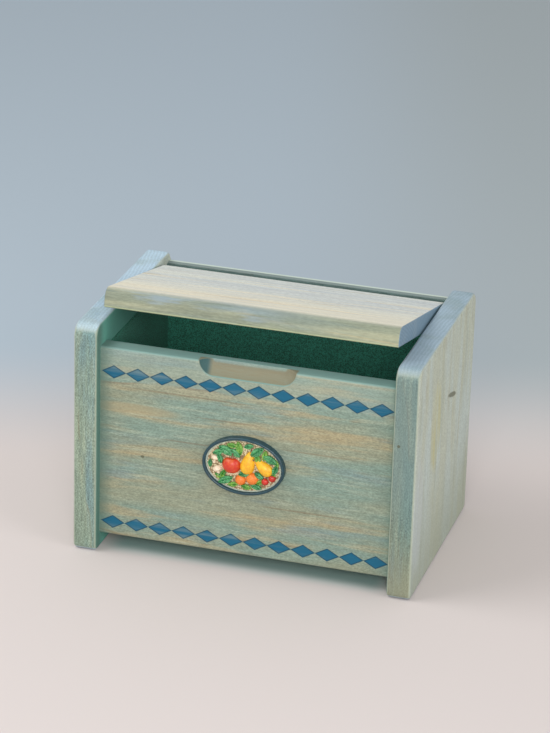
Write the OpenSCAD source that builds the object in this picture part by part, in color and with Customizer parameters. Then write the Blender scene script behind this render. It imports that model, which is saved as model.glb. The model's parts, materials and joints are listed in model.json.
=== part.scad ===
// Recipe card box: a wooden box for index cards, with a lid that turns on two blind pins.
// The origin is the middle of the footprint on the table, the front faces -Y and +Z is up.
// The lid is drawn a little open, as it stands at rest.

/* [Overall] */
// Width over the two side panels
box_w = 158; // [120:1:240]
// Depth of the side panels, front to rear
box_d = 104; // [80:1:160]
// Height of the side panels
box_h = 110; // [90:1:170]

/* [Side panels] */
// Thickness of a side panel
side_t = 11; // [9:0.5:16]
// Radius of a side panel's two top corners
side_corner_r = 6; // [3:0.5:12]
// Radius of a side panel's two foot corners
foot_corner_r = 3; // [2.5:0.5:8]
// Rounding of every arris of a side panel
side_edge_r = 1.6; // [0.5:0.1:2.2]

/* [Front panel] */
// Thickness of the front panel
front_t = 9; // [8:0.5:14]
// Distance of the front face behind the front edges of the side panels
front_setback = 5; // [1:0.5:10]
// Height of the front panel's lower edge above the table
front_lift = 7.5; // [2:0.5:15]
// Distance of the front panel's top edge below the tops of the side panels
front_drop = 11; // [10.5:0.5:20]
// Rounding of the front panel's long arrises
front_edge_r = 1.2; // [0.4:0.1:2]

/* [Finger scoop] */
// Width of the scoop along the top edge of the front panel
scoop_w = 45; // [30:1:70]
// Height of the scoop on the front face
scoop_h = 7; // [4:0.5:10]
// How far the scoop is cut into the front panel's thickness
scoop_cut = 4.5; // [2:0.5:5]

/* [Back panel] */
// Thickness of the back panel
back_t = 4; // [4:0.5:12]
// Distance of the back panel in from the rear edges of the side panels
back_inset = 2; // [0:0.5:4]
// Distance of the back panel's top edge below the tops of the side panels
back_drop = 4.5; // [3.5:0.5:7]
// Rounding of the back panel's top arrises
back_edge_r = 0.8; // [0.3:0.1:1.5]

/* [Bottom panel] */
// Thickness of the bottom panel
bottom_t = 5; // [3:0.5:8]
// Height of the bottom panel's underside above the front panel's lower edge
bottom_rise = 4; // [3:0.5:10]
// Depth of the groove that the bottom panel sits in
groove_depth = 2.5; // [1:0.5:3]

/* [Lid] */
// Thickness of the lid
lid_t = 9; // [7:0.5:10]
// Gap between each end of the lid and the side panel
lid_side_gap = 0.7; // [0.4:0.1:2]
// Gap under the closed lid, over the front panel
lid_rest_gap = 0.3; // [0.3:0.1:1]
// Distance of the closed lid's front edge behind the front face
lid_front_inset = 0.5; // [0:0.5:3]
// Gap between the closed lid's rear edge and the back panel
lid_rear_gap = 8.5; // [6:0.5:12]
// Rounding of the lid's top front arris
lid_nose_r = 3.4; // [1:0.1:4.5]
// Rounding of the lid's other long arrises
lid_edge_r = 1; // [0.4:0.1:2]
// Angle at which the lid stands open at rest
lid_open = 13; // [0:1:60]

/* [Hinge pins] */
// Diameter of a hinge pin
pin_d = 3; // [2:0.5:4]
// Distance of the pins' axis in front of the lid's rear edge
pin_from_rear = 5; // [4:0.5:8]
// Length of a pin inside the lid
pin_in_lid = 9; // [6:0.5:15]
// Length of a pin inside the side panel
pin_in_side = 6; // [4:0.5:8]
// Space all round a pin in the side panel's bore
pin_play = 0.05; // [0.02:0.01:0.1]
// Space left at the blind end of the side panel's bore
pin_end_gap = 0.5; // [0.2:0.1:1]

/* [Dowels] */
// Diameter of the dowels in the front panel
front_dowel_d = 5; // [3:0.5:6]
// Length of a front dowel in each of the two pieces that it joins
front_dowel_in = 7.5; // [5:0.5:8]
// Distance of the front dowels from the front panel's upper and lower edges
front_dowel_margin = 20; // [14:1:30]
// Diameter of the dowels in the back panel
back_dowel_d = 2; // [1.5:0.5:3]
// Length of a back dowel in each of the two pieces that it joins
back_dowel_in = 6; // [4:0.5:8]
// Distance of the back dowels from the back panel's upper and lower edges
back_dowel_margin = 25; // [14:1:30]

/* [Felt lining] */
// Thickness of the felt
felt_t = 0.9; // [0.5:0.1:2]
// Distance of the lining's top edge below the front panel's top edge, at least
felt_drop = 1.5; // [1:0.5:6]
// Distance of the back wall's felt below the back panel's top edge
felt_back_drop = 0.6; // [0.2:0.2:3]
// Gap between the lining's top edge and the lid's rear corner as it swings past
felt_swing_gap = 0.5; // [0.3:0.1:2]

/* [Medallion] */
// Width of the oval medallion
medal_w = 38; // [24:0.5:60]
// Height of the oval medallion
medal_h = 27.5; // [18:0.5:44]
// Height of the medallion's centre above the table
medal_z = 52.2; // [45:0.1:75]
// Thickness of the medallion's ground
medal_ground_t = 1.8; // [1.5:0.1:2]
// Width of the raised rim
medal_rim_w = 1.4; // [1:0.1:4]
// Thickness of the rim over the front face
medal_rim_t = 3.2; // [2.5:0.1:4.5]

/* [Hidden] */

// Stained wood, plain wood, felt and steel, as the colours of the pieces
stained_pine = [0.55, 0.68, 0.64];
pale_pine = [0.78, 0.80, 0.72];
raw_wood = [0.80, 0.70, 0.52];
dark_felt = [0.05, 0.16, 0.12];
bright_steel = [0.75, 0.75, 0.77];
resin_rim = [0.12, 0.25, 0.35];

// A cut starts this far outside the piece that it cuts
over = 1;
// Steps of each rounded arris of a side panel
edge_steps = 4;
// Points of the medallion's oval outline
oval_points = 60;
// The relief is drawn on squares: this many across the medallion, and this many up it
relief_columns = 40;
relief_rows = 28;

// Places along X, Y and Z that the pieces share
inner_x = box_w / 2 - side_t;
inner_w = 2 * inner_x;
front_y = -box_d / 2 + front_setback;
front_back_y = front_y + front_t;
back_rear_y = box_d / 2 - back_inset;
back_y = back_rear_y - back_t;
front_top = box_h - front_drop;
front_h = front_top - front_lift;
back_top = box_h - back_drop;
back_h = back_top - front_lift;
bottom_z = front_lift + bottom_rise;
floor_z = bottom_z + bottom_t;
side_y = box_d / 2;

// The closed lid, from its front edge to its rear edge, and the axis of its pins
lid_w = inner_w - 2 * lid_side_gap;
lid_front_y = front_y + lid_front_inset;
lid_rear_y = back_y - lid_rear_gap;
lid_z = front_top + lid_rest_gap;
pin_y = lid_rear_y - pin_from_rear;
pin_z = lid_z + lid_t / 2;

// The scoop is part of a ball-ended cove: its radius, and how far its axis is in front of the face
scoop_out = (scoop_h * scoop_h - scoop_cut * scoop_cut) / (2 * scoop_cut);
scoop_r = scoop_out + scoop_cut;

// Side of one square of the relief
square_size = min(medal_w / relief_columns, medal_h / relief_rows);

// The lining's top edge stays clear of the circle that the lid's lower rear corner swings on
felt_top = min(front_top - felt_drop, pin_z - norm([pin_from_rear, lid_t / 2]) - felt_swing_gap);
felt_h = felt_top - floor_z;
felt_back_h = back_top - felt_back_drop - floor_z;
felt_front_y = front_back_y;
felt_back_y = back_y;

// A length of the part along X, from an outline drawn in Y and Z
module along_x(length) {
    translate([-length / 2, 0, 0])
        rotate([90, 0, 90])
            linear_extrude(length)
                children();
}

// What a rounded corner takes off, with the corner's tip at the origin
module corner_waste(r) {
    difference() {
        translate([-over, -over])
            square(r + over);
        translate([r, r])
            circle(r, $fn = 48);
    }
}

// A rectangle from the origin whose corners have radii of their own, in the order
// lower front, lower rear, upper rear and upper front
module rounded_outline(size, radii) {
    difference() {
        square(size);
        corner_waste(radii[0]);
        translate([size.x, 0])
            mirror([1, 0])
                corner_waste(radii[1]);
        translate(size)
            rotate(180)
                corner_waste(radii[2]);
        translate([0, size.y])
            mirror([0, 1])
                corner_waste(radii[3]);
    }
}

// A cylinder along X, from x0 to x1
module rod(x0, x1, d) {
    translate([min(x0, x1), 0, 0])
        rotate([0, 90, 0])
            cylinder(h = abs(x1 - x0), d = d, $fn = 48);
}

// A board for a side panel, centred on x = 0: rounded corners, and every arris rounded over.
// Discs that shrink towards the faces stand at its four corners, and the board is their hull.
module side_board() {
    e = side_edge_r;
    corners = [
        [-side_y + foot_corner_r, foot_corner_r, foot_corner_r],
        [side_y - foot_corner_r, foot_corner_r, foot_corner_r],
        [side_y - side_corner_r, box_h - side_corner_r, side_corner_r],
        [-side_y + side_corner_r, box_h - side_corner_r, side_corner_r]
    ];
    hull()
        for (corner = corners)
            for (step = [0 : edge_steps]) {
                a = 90 * step / edge_steps;
                translate([0, corner[0], corner[1]])
                    rotate([0, 90, 0])
                        cylinder(r = corner[2] - e * (1 - cos(a)),
                                 h = side_t - 2 * e * (1 - sin(a)), center = true, $fn = 32);
            }
}

// The bottom panel's solid, which the four walls' grooves take too
module bottom_board() {
    translate([-inner_x - groove_depth, front_back_y - groove_depth, bottom_z])
        cube([inner_w + 2 * groove_depth, back_y - front_back_y + 2 * groove_depth, bottom_t]);
}

// The dowels of one panel, at its two ends and at each height: length reaches into each piece
module panel_dowels(y, heights, d, length) {
    for (s = [-1, 1])
        for (z = heights)
            translate([0, y, z])
                rod(s * (inner_x - length), s * (inner_x + length), d);
}

module front_dowel_set() {
    panel_dowels(front_y + front_t / 2, [front_lift + front_dowel_margin, front_top - front_dowel_margin],
                 front_dowel_d, front_dowel_in);
}

module back_dowel_set() {
    panel_dowels(back_y + back_t / 2, [front_lift + back_dowel_margin, back_top - back_dowel_margin],
                 back_dowel_d, back_dowel_in);
}

// A side panel with its groove, its dowel holes and the blind bore of the hinge pin; s is -1 or 1
module side_panel(s) {
    difference() {
        translate([s * (inner_x + side_t / 2), 0, 0])
            side_board();
        bottom_board();
        front_dowel_set();
        back_dowel_set();
        translate([0, pin_y, pin_z])
            rod(s * (inner_x - over), s * (inner_x + pin_in_side + pin_end_gap), pin_d + 2 * pin_play);
    }
}

module side_left() {
    color(stained_pine)
        side_panel(-1);
}

module side_right() {
    color(stained_pine)
        side_panel(1);
}

// The cutter of the finger scoop: a ball-ended bar along X at the front panel's top edge
module scoop_cutter() {
    reach = scoop_w / 2 - scoop_h;
    translate([0, front_y - scoop_out, front_top])
        rotate([0, 90, 0])
            rotate_extrude($fn = 64)
                difference() {
                    union() {
                        translate([0, -reach])
                            square([scoop_r, 2 * reach]);
                        for (end = [-1, 1])
                            translate([0, end * reach])
                                circle(scoop_r, $fn = 64);
                    }
                    translate([-2 * scoop_r, -reach - 2 * scoop_r])
                        square([2 * scoop_r, 2 * reach + 4 * scoop_r]);
                }
}

module front_panel() {
    r = front_edge_r;
    color(stained_pine)
        difference() {
            translate([0, front_y, front_lift])
                along_x(inner_w)
                    rounded_outline([front_t, front_h], [r, r, r, r]);
            scoop_cutter();
            bottom_board();
            front_dowel_set();
        }
}

module back_panel() {
    r = back_edge_r;
    color(stained_pine)
        difference() {
            translate([0, back_y, front_lift])
                along_x(inner_w)
                    rounded_outline([back_t, back_h], [r, r, r, r]);
            bottom_board();
            back_dowel_set();
        }
}

module bottom_panel() {
    color(raw_wood)
        bottom_board();
}

// Turns what is drawn for the closed lid to the angle at which the lid rests
module opened() {
    translate([0, pin_y, pin_z])
        rotate([-lid_open, 0, 0])
            translate([0, -pin_y, -pin_z])
                children();
}

// The two hinge pins; s is -1 or 1
module hinge_pin(s) {
    color(bright_steel)
        translate([0, pin_y, pin_z])
            rod(s * (lid_w / 2 - pin_in_lid), s * (inner_x + pin_in_side), pin_d);
}

module hinge_pin_left() {
    hinge_pin(-1);
}

module hinge_pin_right() {
    hinge_pin(1);
}

module lid() {
    r = lid_edge_r;
    color(pale_pine)
        difference() {
            opened()
                translate([0, lid_front_y, lid_z])
                    along_x(lid_w)
                        rounded_outline([lid_rear_y - lid_front_y, lid_t], [r, r, r, lid_nose_r]);
            for (s = [-1, 1])
                translate([0, pin_y, pin_z])
                    rod(s * (lid_w / 2 - pin_in_lid), s * (lid_w / 2 + over), pin_d);
        }
}

module front_dowels() {
    color(raw_wood)
        front_dowel_set();
}

module back_dowels() {
    color(raw_wood)
        back_dowel_set();
}

module lining_bottom() {
    color(dark_felt)
        translate([-inner_x, felt_front_y, floor_z])
            cube([inner_w, felt_back_y - felt_front_y, felt_t]);
}

// A sheet of felt that stands on the lining of the bottom and ends at height h over the floor
module wall_lining(x0, x1, y0, y1, h = felt_h) {
    color(dark_felt)
        translate([x0, y0, floor_z + felt_t])
            cube([x1 - x0, y1 - y0, h - felt_t]);
}

module lining_front() {
    wall_lining(-inner_x, inner_x, felt_front_y, felt_front_y + felt_t);
}

module lining_back() {
    wall_lining(-inner_x, inner_x, felt_back_y - felt_t, felt_back_y, felt_back_h);
}

module lining_left() {
    wall_lining(-inner_x, -inner_x + felt_t, felt_front_y + felt_t, felt_back_y - felt_t);
}

module lining_right() {
    wall_lining(inner_x - felt_t, inner_x, felt_front_y + felt_t, felt_back_y - felt_t);
}

// An oval drawn in the plane of the front face
module oval(w, h) {
    polygon([for (i = [0 : oval_points - 1])
        [w / 2 * cos(360 * i / oval_points), h / 2 * sin(360 * i / oval_points)]]);
}

// Stands what is drawn in x and y, with its height along z, upright on the front face
module on_front() {
    translate([0, front_y, medal_z])
        rotate([90, 0, 0])
            children();
}

// Places a turned fruit of radius r on the medallion's ground, with its axis along the face
// and its surface rising over the ground by rise, all in squares of the relief
module set_fruit(x, y, r, rise, turn = 0) {
    translate([x * square_size, y * square_size, medal_ground_t + (rise - r) * square_size])
        rotate([0, 0, turn])
            rotate([-90, 0, 0])
                scale(square_size)
                    children();
}

// A turned form, from its outline
module turned(points) {
    rotate_extrude($fn = 40)
        polygon(points);
}

// An apple of radius r: its crown and its foot are hollow
module apple(r) {
    turned([for (a = [-90 : 10 : 90])
        [r * cos(a) * (1 + 0.08 * sin(a)), r * (0.95 * sin(a) - 0.22 * pow(sin(a), 9))]]);
}

// A pear of radius r that narrows towards its stalk
module pear(r, length) {
    turned([for (a = [-90 : 10 : 90])
        [0.93 * r * cos(a) * (1 - 0.42 * sin(a)), length / 2 * sin(a)]]);
}

// A mushroom with a cap of radius r over its stem
module mushroom(r) {
    turned(concat([[0, -1.3 * r], [0.42 * r, -1.3 * r], [0.36 * r, -0.1 * r]],
        [for (a = [0 : 15 : 90]) [r * cos(a), 0.8 * r * sin(a)]]));
}

// An orange, plum or cherry of radius r
module berry(r) {
    sphere(r, $fn = 40);
}

// A pointed leaf between two arcs, lying on the ground, in squares of the relief
module set_leaf(x, y, length, width, turn) {
    r = (length * length + width * width) / (4 * width);
    translate([x * square_size, y * square_size, medal_ground_t])
        rotate([0, 0, turn])
            scale(square_size)
                translate([0, 0, -1])
                    linear_extrude(2.1)
                        intersection() {
                            translate([0, r - width / 2])
                                circle(r, $fn = 96);
                            translate([0, width / 2 - r])
                                circle(r, $fn = 96);
                        }
}

// The relief: fruit and mushrooms in a row, with leaves round them
module fruit_relief() {
    set_fruit(-5.6, -0.6, 4.7, 2.9) apple(4.7);
    set_fruit(2.2, 2.0, 3.4, 2.7, -12) pear(3.4, 12);
    set_fruit(9.0, 0.8, 3.1, 2.5, 50) pear(3.1, 10.6);
    set_fruit(4.2, -5.6, 3.0, 2.3) berry(3.0);
    set_fruit(-1.2, -6.9, 2.6, 2.0) berry(2.6);
    set_fruit(-12.0, -3.2, 2.3, 2.1, 14) mushroom(2.3);
    set_fruit(-13.2, 2.0, 1.9, 1.8, -12) mushroom(1.9);
    set_fruit(13.4, -3.9, 1.7, 1.8) berry(1.7);
    set_fruit(10.2, -6.0, 1.7, 1.8) berry(1.7);
    set_leaf(-7.8, 6.6, 8, 3.6, 155);
    set_leaf(-2.2, 8.2, 6.5, 3.0, 105);
    set_leaf(6.2, 7.6, 7.5, 3.4, 35);
    set_leaf(12.6, 5.4, 7, 3.2, -25);
    set_leaf(-7.6, -7.6, 7.5, 3.0, 205);
    set_leaf(8.4, -8.6, 5, 2.2, -5);
}

module medallion() {
    ground_w = medal_w - 2 * medal_rim_w;
    ground_h = medal_h - 2 * medal_rim_w;
    bevel = medal_rim_w / 4;
    color(resin_rim)
        on_front()
            union() {
                linear_extrude(medal_ground_t)
                    oval(medal_w, medal_h);
                difference() {
                    union() {
                        linear_extrude(medal_rim_t - bevel)
                            oval(medal_w, medal_h);
                        linear_extrude(medal_rim_t)
                            oval(medal_w - 2 * bevel, medal_h - 2 * bevel);
                    }
                    translate([0, 0, -over])
                        linear_extrude(medal_rim_t + 2 * over)
                            oval(ground_w, ground_h);
                }
                intersection() {
                    translate([0, 0, medal_ground_t - over])
                        linear_extrude(medal_rim_t + 10)
                            oval(ground_w, ground_h);
                    fruit_relief();
                }
            }
}

side_left();
side_right();
front_panel();
back_panel();
bottom_panel();
lid();
hinge_pin_left();
hinge_pin_right();
front_dowels();
back_dowels();
lining_bottom();
lining_front();
lining_back();
lining_left();
lining_right();
medallion();
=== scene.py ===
"""Dresses the recipe card box: washed pine, a stencilled border, felt and a painted relief."""

import json
from math import cos, pi, radians, sin, tau

import bmesh
import bpy
from bpy.props import FloatProperty, FloatVectorProperty, IntProperty, PointerProperty
from bpy.types import Operator, Panel, PropertyGroup
from mathutils import Euler, Matrix, Vector


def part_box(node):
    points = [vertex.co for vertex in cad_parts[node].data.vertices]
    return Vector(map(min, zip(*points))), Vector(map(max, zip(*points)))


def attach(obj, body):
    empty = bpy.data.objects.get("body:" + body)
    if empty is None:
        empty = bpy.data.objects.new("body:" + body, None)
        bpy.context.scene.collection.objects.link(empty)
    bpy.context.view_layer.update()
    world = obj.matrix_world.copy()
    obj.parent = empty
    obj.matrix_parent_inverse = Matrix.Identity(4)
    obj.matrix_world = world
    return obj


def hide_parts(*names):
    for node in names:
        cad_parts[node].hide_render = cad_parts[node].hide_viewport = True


bl_info = {
    "name": "Recipe card box",
    "version": (1, 0, 0),
    "blender": (4, 5, 0),
    "location": "View3D > Sidebar > Recipe Box",
    "description": "Models and finishes a recipe card box round its fixed frame",
    "category": "Add Mesh",
}

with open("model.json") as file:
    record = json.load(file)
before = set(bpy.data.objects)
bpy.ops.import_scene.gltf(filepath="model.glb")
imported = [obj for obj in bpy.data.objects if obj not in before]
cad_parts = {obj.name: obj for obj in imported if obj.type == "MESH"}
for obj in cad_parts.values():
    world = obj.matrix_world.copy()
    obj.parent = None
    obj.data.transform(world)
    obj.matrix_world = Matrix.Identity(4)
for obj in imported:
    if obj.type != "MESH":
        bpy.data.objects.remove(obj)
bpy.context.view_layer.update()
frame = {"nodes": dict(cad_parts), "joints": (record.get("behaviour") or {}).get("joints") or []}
HINGE = frame["joints"][0]
MM = 0.001
TINY = 1e-6


def corners(node):
    """The lowest and the highest corner of a node of the frame."""
    low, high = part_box(node)
    return Vector(low), Vector(high)


FRONT_LOW, FRONT_HIGH = corners("front_panel")
BACK_LOW, BACK_HIGH = corners("back_panel")
MEDAL_LOW, MEDAL_HIGH = corners("medallion")
MEDAL_MIDDLE = (MEDAL_LOW.z + MEDAL_HIGH.z) / 2

# Fixed measures, in metres unless they are counts

OVAL_SIDES = 96
TURN_STEPS = 36
FELT_CUTS = 24
FELT_LUMPS = 0.12 * MM
PEBBLE_GAP = 1.1 * MM
GROUND_THICK = 0.6 * MM
SUNK = 0.4 * MM  # how far the rim and the relief reach into the ground
LEAF_RELIEF = 3.4 * MM
FLOOR_RADIUS = 6
VIEW_END = 20
LAMP_AIM = Vector((0, 0, 0.05))
LAMPS = {  # where each lamp hangs and how wide it is
    "key": ((-0.65, -0.30, 0.90), 0.8),
    "front": ((0.35, -1.30, 0.62), 0.6),
    "side": ((2.40, -0.90, 1.05), 1.4),
}


# Properties


def length(name, description, size):
    """A length, its default given in mm."""
    return FloatProperty(
        name=name, description=description, default=size * MM, min=0.0, precision=5, unit="LENGTH"
    )


def hue(name, description, red, green, blue):
    """A colour given as a screen shows it, from 0 to 255."""
    return FloatVectorProperty(
        name=name,
        description=description,
        default=(red / 255, green / 255, blue / 255),
        min=0.0,
        max=1.0,
        subtype="COLOR_GAMMA",
    )


class RecipeBoxWoodwork(PropertyGroup):
    corner_radius: length("Corner radius", "Top corners of a side panel", 6)
    foot_radius: length("Foot radius", "Foot corners of a side panel", 3)
    arris_radius: length("Side arris", "Rounding all round a side panel", 1.6)
    front_arris: length("Front arris", "Rounding of the front panel's long arrises", 1.2)
    back_arris: length("Back arris", "Rounding of the back panel's long arrises", 0.8)
    scoop_width: length("Scoop width", "Finger scoop along the top edge", 45)
    scoop_height: length("Scoop height", "Finger scoop down the front face", 7)
    scoop_depth: length("Scoop depth", "Finger scoop into the thickness", 4.5)
    scoop_lip: length("Scoop lip", "Softening of the scoop's edge", 0.35)
    lid_depth: length("Lid depth", "Front edge to rear edge", 84)
    lid_thickness: length("Lid thickness", "Thickness of the lid", 9)
    lid_nose: length("Lid nose", "Rounding of the lid's top front arris", 4.5)
    lid_arris: length("Lid arris", "Rounding of the lid's other long arrises", 1)
    lid_end_arris: length("Lid end arris", "Softening of the lid's two ends", 0.5)
    hinge_inset: length("Hinge inset", "From the lid's rear edge to its pins", 5)


class RecipeBoxStencil(PropertyGroup):
    count: IntProperty(name="Diamonds", description="Diamonds in each row", default=12, min=1)
    pitch: length("Pitch", "From one diamond's middle to the next", 11.2)
    height: length("Height", "Height of a diamond", 6.3)
    top_drop: length("Upper row", "Its middle below the panel's top edge", 11.4)
    foot_rise: length("Lower row", "Its middle above the panel's lower edge", 6.6)
    paint: hue("Paint", "Stencil paint", 10, 98, 130)


class RecipeBoxMedallion(PropertyGroup):
    rim_width: length("Rim width", "Raised rim of the oval", 1.4)
    rim_height: length("Rim height", "Rim over the front panel", 3.2)
    ground_height: length("Ground height", "Ground over the front panel", 1.8)
    pebble: length("Pebbles", "Height of the stippled ground", 0.35)
    rim: hue("Rim", "Blue glaze of the rim", 24, 66, 78)
    # Painted highlight inside the rim
    lip: hue("Lip", "Painted highlight inside the rim", 186, 196, 180)
    ground: hue("Ground", "Cream stipple", 222, 208, 168)
    ground_shade: hue("Ground shade", "Between the stipples", 132, 100, 66)
    leaf: hue("Leaf", "Darker leaves", 14, 102, 56)
    leaf_edge: hue("Leaf edge", "Veins and edges of the darker leaves", 104, 186, 122)
    young_leaf: hue("Young leaf", "Lighter leaves", 42, 126, 44)
    young_edge: hue("Young leaf edge", "Veins and edges of the lighter leaves", 150, 194, 84)
    stem: hue("Stem", "Stems", 112, 78, 44)
    apple: hue("Apple", "Apple and cherries", 204, 48, 30)
    pear: hue("Pear", "Pears", 244, 192, 38)
    orange: hue("Orange", "Oranges", 232, 116, 36)
    cream: hue("Mushroom", "Mushrooms", 240, 222, 196)


class RecipeBoxFinish(PropertyGroup):
    wash: hue("Wash", "Grey-green wash on the panels", 140, 147, 126)
    teal: hue("Teal wash", "Where the wash lies thick", 126, 147, 134)
    blue: hue("Blue streaks", "Where the stain pools", 116, 140, 142)
    warm: hue("Warm streaks", "Where the pine shows through", 172, 154, 116)
    pale: hue("Pale streaks", "Rubbed wood", 172, 180, 158)
    late: hue("Growth lines", "Dark summer wood", 120, 98, 72)
    # End grain stain; on the lid's crest it also serves as a painted highlight
    end_grain_and_crest_highlight: hue("End grain and crest highlight", "Sawn ends take more stain", 156, 177, 192)
    upward: hue("Top edge", "Top edge of the front panel", 106, 150, 144)
    pale_teal: hue("Pale teal", "Along the top of the front panel", 152, 176, 170)
    # Painted shade on the front panel beside the side panels
    painted_side_shade: hue("Painted side shade", "Front panel next to the side panels", 88, 118, 108)
    cut: hue("Cut ends", "Left end of the finger scoop", 62, 96, 96)
    scoop: hue("Scoop", "Bare wood in the finger scoop", 132, 122, 94)
    # Teal stain with painted shade on the inner faces under the lid
    inside: hue("Inside", "Inner faces under the lid", 90, 170, 154)
    lid_wash: hue("Lid wash", "Pale wash on the lid", 216, 219, 208)
    lid_edge: hue("Lid edge", "Thicker wash on the lid's front", 122, 130, 114)
    lid_warm: hue("Lid warm", "Cream streaks on the lid", 232, 220, 190)
    lid_cool: hue("Lid cool", "Cool streaks on the lid", 184, 194, 202)
    side_warm: hue("Side yellow", "Yellow streaks on the sides", 178, 178, 148)
    side_pale: hue("Side wash", "Pale wash on the wide faces", 181, 192, 186)
    yellow: hue("Yellow wood", "Resin-rich stripe of the right side", 184, 178, 120)
    knot: hue("Knot", "Small knots", 88, 88, 66)
    felt: hue("Felt", "Dark green felt", 62, 142, 120)
    # Painted shade: the grey of the shaded gap between the lid and the back panel
    painted_gap_shade: hue("Painted gap shade", "Felt and wood in the gap behind the lid", 100, 116, 116)
    ply: hue("Plywood", "Bare underside", 206, 180, 138)
    dowel: hue("Dowel", "Bare beech", 204, 170, 124)
    steel: hue("Steel", "Hinge pins", 196, 197, 200)


class RecipeBoxStage(PropertyGroup):
    eye: FloatVectorProperty(
        name="Camera", description="Where the camera stands", subtype="TRANSLATION", unit="LENGTH",
        default=(0.3711, -1.2860, 0.6444),
    )
    turn: FloatVectorProperty(
        name="Camera turn", description="Turn of the camera", subtype="EULER",
        default=(1.172, -0.027, 0.293),
    )
    lens: FloatProperty(name="Lens", description="Focal length in mm", default=210.1, min=10.0)
    floor: hue("Floor", "Paper round the box", 212, 203, 200)
    far: hue("Backdrop", "Paper far behind", 172, 186, 197)
    far_right: hue("Backdrop right", "Paper far behind on the right", 166, 176, 180)
    # Painted shadow and reflection under the box
    under: hue("Under the box", "Painted cool shadow and reflection under the box", 120, 176, 172)
    sky: FloatProperty(name="Sky", description="Strength of the even light", default=0.60, min=0.0)
    key: FloatProperty(name="Key", description="Lamp above and left, in W", default=5.0, min=0.0)
    front: FloatProperty(name="Front", description="Lamp by the camera, in W", default=8.2, min=0.0)
    side: FloatProperty(name="Side", description="Lamp on the right, in W", default=16.5, min=0.0)


# Modelling


def mode(name):
    bpy.ops.object.mode_set(mode=name)


def start_fresh():
    """Leaves edit mode and deselects all, so that an operator acts on its own piece alone."""
    if bpy.context.object and bpy.context.object.mode == "EDIT":
        mode("OBJECT")
    bpy.ops.object.select_all(action="DESELECT")


def take(*pieces):
    """Selects these pieces alone and makes the first of them active."""
    start_fresh()
    for piece in pieces:
        piece.select_set(True)
    bpy.context.view_layer.objects.active = pieces[0]


def named(name):
    """The piece that was just added, under its own name."""
    piece = bpy.context.object
    piece.name = piece.data.name = name
    return piece


def settle(piece):
    """Puts the piece's place into its mesh."""
    mode("OBJECT")
    bpy.ops.object.transform_apply(location=True, rotation=True, scale=True)
    return piece


def board(name, low, high):
    """A board between two corners."""
    start_fresh()
    bpy.ops.mesh.primitive_cube_add(size=1, location=(low + high) / 2)
    piece = named(name)
    piece.scale = high - low
    return settle(piece)


def pick(piece, kind, wanted):
    """In edit mode, selects the verts, edges or faces for which wanted is true."""
    mode("EDIT")
    bpy.ops.mesh.select_mode(type={"verts": "VERT", "edges": "EDGE", "faces": "FACE"}[kind])
    bpy.ops.mesh.select_all(action="DESELECT")
    shell = bmesh.from_edit_mesh(piece.data)
    for part in getattr(shell, kind):
        if wanted(part):
            part.select_set(True)
    shell.select_flush_mode()
    bmesh.update_edit_mesh(piece.data)


def middle(edge):
    return (edge.verts[0].co + edge.verts[1].co) / 2


def runs_along(edge, axis):
    """True where the edge runs along X, Y or Z."""
    step = edge.verts[1].co - edge.verts[0].co
    return abs(step["XYZ".index(axis)]) > 0.999 * step.length


def round_over(piece, wanted, radius, segments):
    """Rounds the chosen edges over."""
    pick(piece, "edges", wanted)
    bpy.ops.mesh.bevel(offset=radius, segments=segments, profile=0.5)
    mode("OBJECT")


def choose_all():
    bpy.ops.mesh.select_all(action="SELECT")


def extrude(height):
    """Extrudes the selected faces along Z."""
    bpy.ops.mesh.extrude_region_move(TRANSFORM_OT_translate={"value": (0, 0, height)})


def close_up():
    """Turns all faces outward and leaves edit mode."""
    choose_all()
    bpy.ops.mesh.normals_make_consistent(inside=False)
    mode("OBJECT")


def modifier(piece, kind, **settings):
    """Adds a modifier and applies it."""
    made = piece.modifiers.new(kind.lower(), kind)
    for key, value in settings.items():
        setattr(made, key, value)
    bpy.context.view_layer.objects.active = piece
    bpy.ops.object.modifier_apply(modifier=made.name)


def smooth(piece, angle):
    """Smooth shading on the roundings, flat shading on the wide faces."""
    take(piece)
    bpy.ops.object.shade_smooth_by_angle(angle=radians(angle))
    modifier(piece, "WEIGHTED_NORMAL", keep_sharp=True)


def paint(piece, material):
    """Gives the piece this material alone."""
    piece.data.materials.clear()
    piece.data.materials.append(material)


def dress(piece, slot, material, *nodes, body="box", angle=35):
    """Smooths the piece, gives it its material and body, and hides the nodes it stands for; slot is
    not used.
    """
    smooth(piece, angle)
    paint(piece, material)
    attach(piece, body)
    if nodes:
        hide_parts(*nodes)


def turned(name, outline):
    """A turned form round Z: outline holds its (radius, height) points from pole to pole."""
    start_fresh()
    bpy.ops.mesh.primitive_plane_add(size=1)
    piece = named(name)
    mode("EDIT")
    bpy.ops.mesh.select_mode(type="VERT")
    choose_all()
    bpy.ops.mesh.merge(type="CENTER")
    points = [Vector((r, 0, h)) for r, h in outline]
    bpy.ops.transform.translate(value=points[0])
    for last, point in zip(points, points[1:]):
        bpy.ops.mesh.extrude_vertices_move(TRANSFORM_OT_translate={"value": point - last})
    choose_all()
    bpy.ops.mesh.spin(steps=TURN_STEPS, angle=tau, center=(0, 0, 0), axis=(0, 0, 1))
    choose_all()
    bpy.ops.mesh.remove_doubles(threshold=1e-7)
    close_up()
    return piece


# Finishes


def properties(name):
    """One of the scene's groups of properties."""
    return getattr(bpy.context.scene, f"recipe_box_{name}")


def linear(colour):
    """A screen colour as the shader takes it."""
    return [c / 12.92 if c <= 0.04045 else ((c + 0.055) / 1.055) ** 2.4 for c in colour] + [1.0]


def toned(colour, tone):
    """A screen colour, darker with a tone below 1 and lighter above, as the shader takes it."""
    return linear([v * tone for v in colour])


def arithmetic(operation, swapped=False):
    """A Python operator that adds a Math node."""

    def apply(self, *others):
        values = (*others, self) if swapped else (self, *others)
        return self.finish.math(operation, *values)

    return apply


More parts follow.
